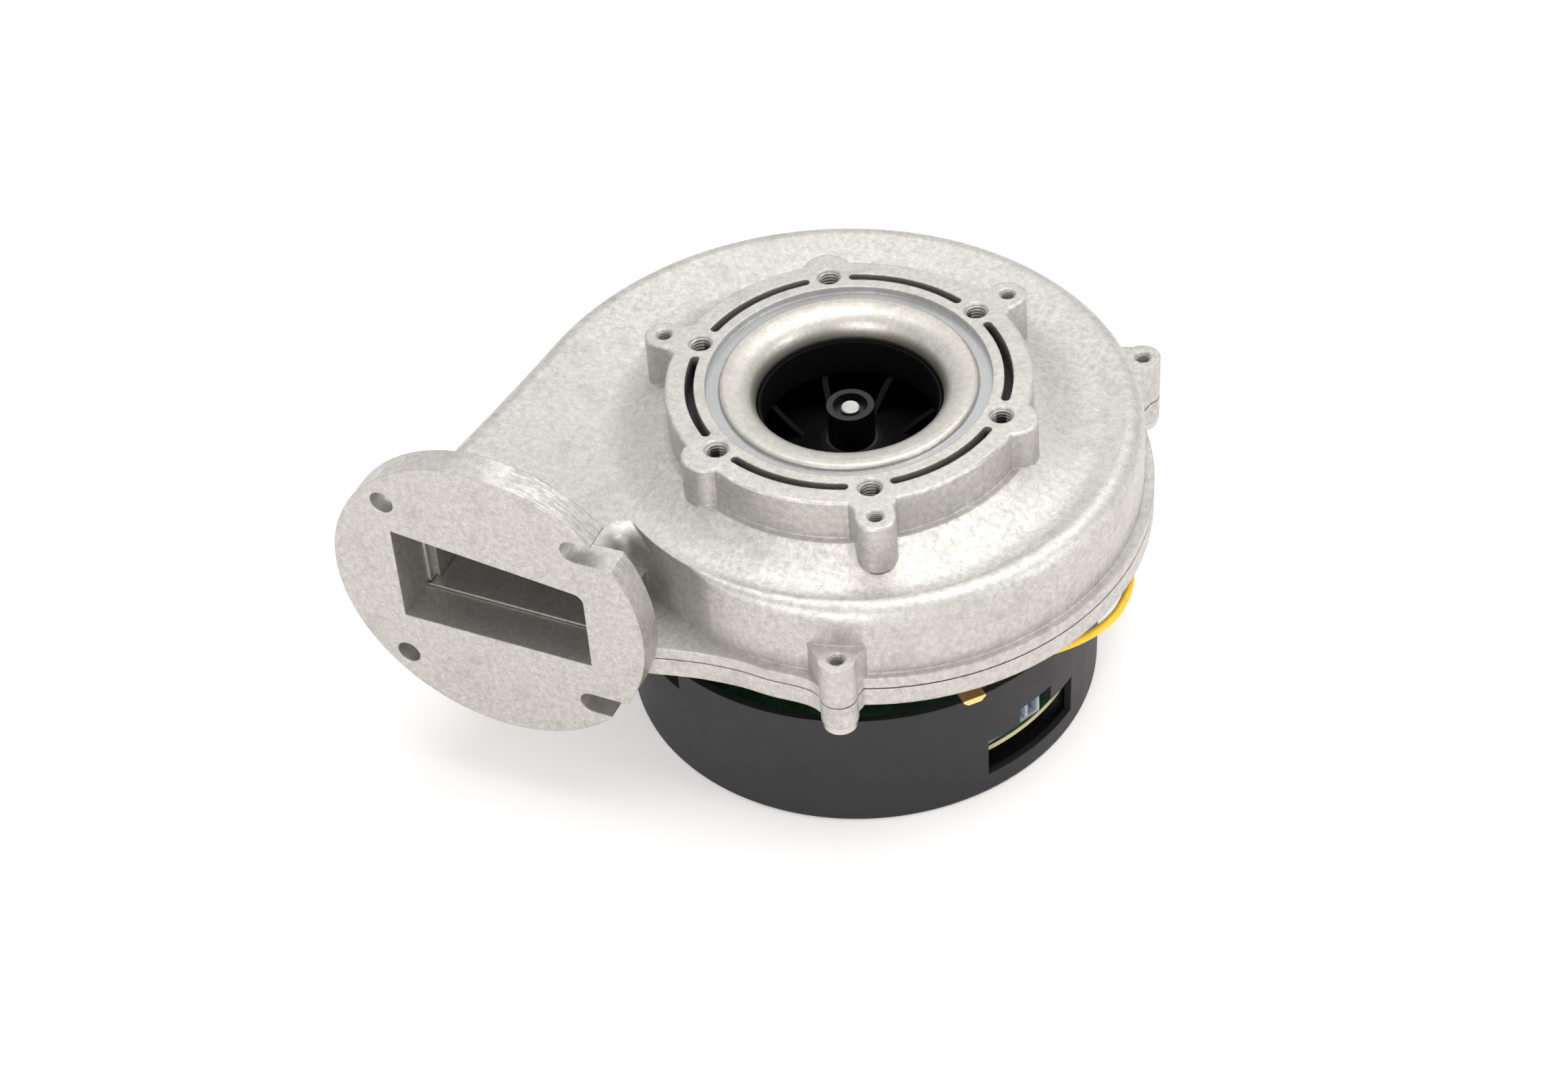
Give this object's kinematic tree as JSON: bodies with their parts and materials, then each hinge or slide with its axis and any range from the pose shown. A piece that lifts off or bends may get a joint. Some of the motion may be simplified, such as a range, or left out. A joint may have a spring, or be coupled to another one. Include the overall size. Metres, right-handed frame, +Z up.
{
  "type": "gas blower",
  "caption": "Premix gas blower with a die-cast scroll, round outlet flange, bolted inlet collar, shrouded impeller and a motor with its board in a moulded cup.",
  "frame": {"origin": "on the shaft axis, at the flat underside of the motor cover that the blower stands on", "axes": "+Z up along the shaft towards the inlet, -Y out of the outlet flange, +X towards the side with the connector window"},
  "size_m": [0.1906, 0.1679, 0.1147],
  "materials": {
    "casting": "as die-cast, trimmed and blasted",
    "gasket": "matt",
    "zinc_steel": "zinc-plated",
    "cover_plastic": "fine moulded grain",
    "board": "green solder resist",
    "nylon": "natural, slightly translucent",
    "tin_pins": "tin-plated",
    "capacitor_sleeve": "shrink sleeve",
    "ferrite": "sintered",
    "black_moulding": "moulded",
    "brass_sheet": "bright",
    "lead_insulation": "PVC",
    "bearing_steel": "ground",
    "laminations": "stacked sheet",
    "insulator_moulding": "moulded",
    "enamelled_wire": "enamelled copper",
    "shaft_steel": "ground",
    "impeller_moulding": "moulded, slightly glossy",
    "bell_steel": "drawn and zinc-plated",
    "spring_steel": "hardened"
  },
  "bodies": {
    "housing": {"upper_housing": "casting", "lower_housing": "casting", "housing_gasket": "gasket", "housing_screws": "zinc_steel", "motor_cover": "cover_plastic", "cover_screws": "zinc_steel", "circuit_board": "board", "signal_connector": "nylon", "connector_pins": "tin_pins", "bulk_capacitor": "capacitor_sleeve", "line_choke": "ferrite", "power_module": "black_moulding", "earth_tab": "brass_sheet", "earth_screw": "zinc_steel", "lead_eyelet": "tin_pins", "earth_lead": "lead_insulation", "lead_plug": "nylon", "bearing_tube": "bearing_steel", "upper_bearing_outer_ring": "bearing_steel", "lower_bearing_outer_ring": "bearing_steel", "stator_core": "laminations", "stator_insulators": "insulator_moulding", "stator_coils": "enamelled_wire"},
    "rotor": {"motor_shaft": "shaft_steel", "impeller": "impeller_moulding", "impeller_shroud": "impeller_moulding", "rotor_bell": "bell_steel", "rotor_bush": "brass_sheet", "rotor_magnet": "ferrite", "upper_bearing_inner_ring": "bearing_steel", "lower_bearing_inner_ring": "bearing_steel", "retaining_ring": "spring_steel", "preload_washer": "spring_steel"},
    "ball_train": {"bearing_balls": "bearing_steel", "bearing_cages": "spring_steel"}
  },
  "joints": [
    {"name": "rotor_spin", "type": "hinge", "parent": "housing", "child": "rotor", "pos_m": [0, 0, 0], "axis": [0, 0, 1], "continuous": true},
    {"name": "ball_orbit", "type": "hinge", "parent": "housing", "child": "ball_train", "pos_m": [0, 0, 0], "axis": [0, 0, 1], "continuous": true}
  ],
  "couplings": [
    {"joint": "ball_orbit", "follows": "rotor_spin", "ratio": 0.3895}
  ]
}
